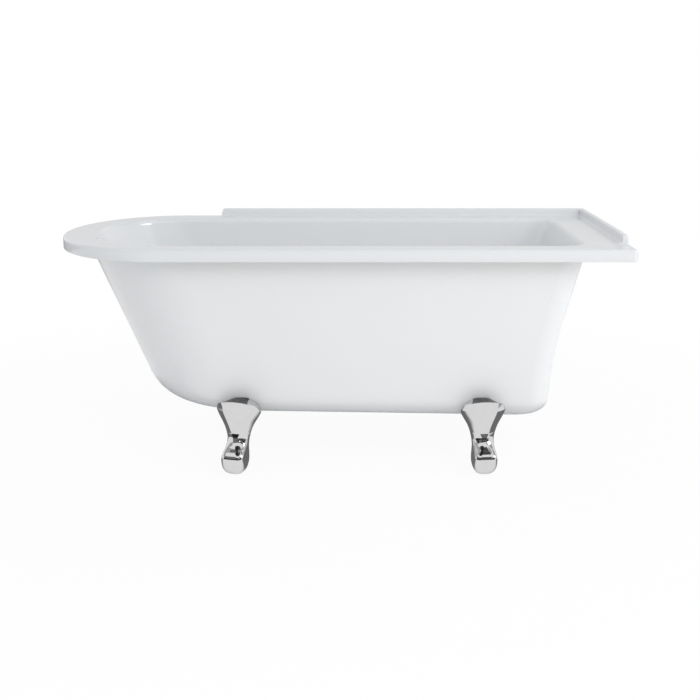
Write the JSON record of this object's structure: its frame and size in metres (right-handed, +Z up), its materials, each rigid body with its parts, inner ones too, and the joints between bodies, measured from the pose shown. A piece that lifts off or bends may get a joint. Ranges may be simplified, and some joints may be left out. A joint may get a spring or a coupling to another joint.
{
  "type": "freestanding shower bath",
  "caption": "Freestanding double-skinned bath on four cast chrome feet, round at one end and square at the other, with a tiling lip and a pop-up waste.",
  "frame": {"origin": "on the floor under the middle of the bath's length and width", "axes": "+X to the square end, +Y to the wall behind the bath, +Z up"},
  "size_m": [1.5, 0.75, 0.622],
  "materials": {
    "acrylic": "glossy white sanitary acrylic",
    "chipboard": "sealed chipboard",
    "pine": "planed softwood",
    "chrome": "polished chrome plate",
    "zinc_steel": "bright zinc plate",
    "brass": "plain turned brass",
    "rubber": "matt black rubber",
    "waste_plastic": "satin white plastic",
    "cable_black": "black sleeve"
  },
  "bodies": {
    "tub": {"tub_shell": "acrylic", "outer_skin": "acrylic", "base_board": "chipboard", "deck_board": "chipboard", "bearer_front": "pine", "bearer_rear": "pine", "rim_batten_front": "pine", "rim_batten_rear": "pine", "left_front_foot": "chrome", "left_rear_foot": "chrome", "right_front_foot": "chrome", "right_rear_foot": "chrome", "waste_flange": "chrome", "overflow_rose": "chrome", "bearer_screws": "zinc_steel", "leveller_nuts": "zinc_steel", "foot_washers": "zinc_steel", "foot_bolts": "zinc_steel", "hose_clips": "zinc_steel", "foot_inserts": "brass", "waste_flange_seal": "rubber", "waste_under_seal": "rubber", "overflow_seal": "rubber", "waste_body": "waste_plastic", "overflow_body": "waste_plastic", "overflow_hose": "waste_plastic", "lift_cable": "cable_black"},
    "left_front_leveller": {"left_front_leveller": "zinc_steel"},
    "left_rear_leveller": {"left_rear_leveller": "zinc_steel"},
    "right_front_leveller": {"right_front_leveller": "zinc_steel"},
    "right_rear_leveller": {"right_rear_leveller": "zinc_steel"},
    "dial": {"overflow_dial": "chrome", "overflow_spindle": "brass"},
    "plug": {"plug_cap": "chrome", "plug_seal": "rubber", "plug_stem": "zinc_steel", "lift_collar": "waste_plastic"}
  },
  "joints": [
    {"name": "left_front_level", "type": "slide", "parent": "tub", "child": "left_front_leveller", "axis": [0, 0, -1], "range_m": [0, 0.012]},
    {"name": "left_rear_level", "type": "slide", "parent": "tub", "child": "left_rear_leveller", "axis": [0, 0, -1], "range_m": [0, 0.012]},
    {"name": "right_front_level", "type": "slide", "parent": "tub", "child": "right_front_leveller", "axis": [0, 0, -1], "range_m": [0, 0.012]},
    {"name": "right_rear_level", "type": "slide", "parent": "tub", "child": "right_rear_leveller", "axis": [0, 0, -1], "range_m": [0, 0.012]},
    {"name": "dial_turn", "type": "hinge", "parent": "tub", "child": "dial", "pos_m": [0.5818, 0, 0.472], "axis": [-0.9285, 0, 0.3714], "range_deg": [0, 90]},
    {"name": "plug_lift", "type": "slide", "parent": "tub", "child": "plug", "axis": [0, 0, 1], "range_m": [0, 0.01]}
  ],
  "couplings": [
    {"joint": "plug_lift", "follows": "dial_turn", "m_per_rad": 0.006366}
  ]
}
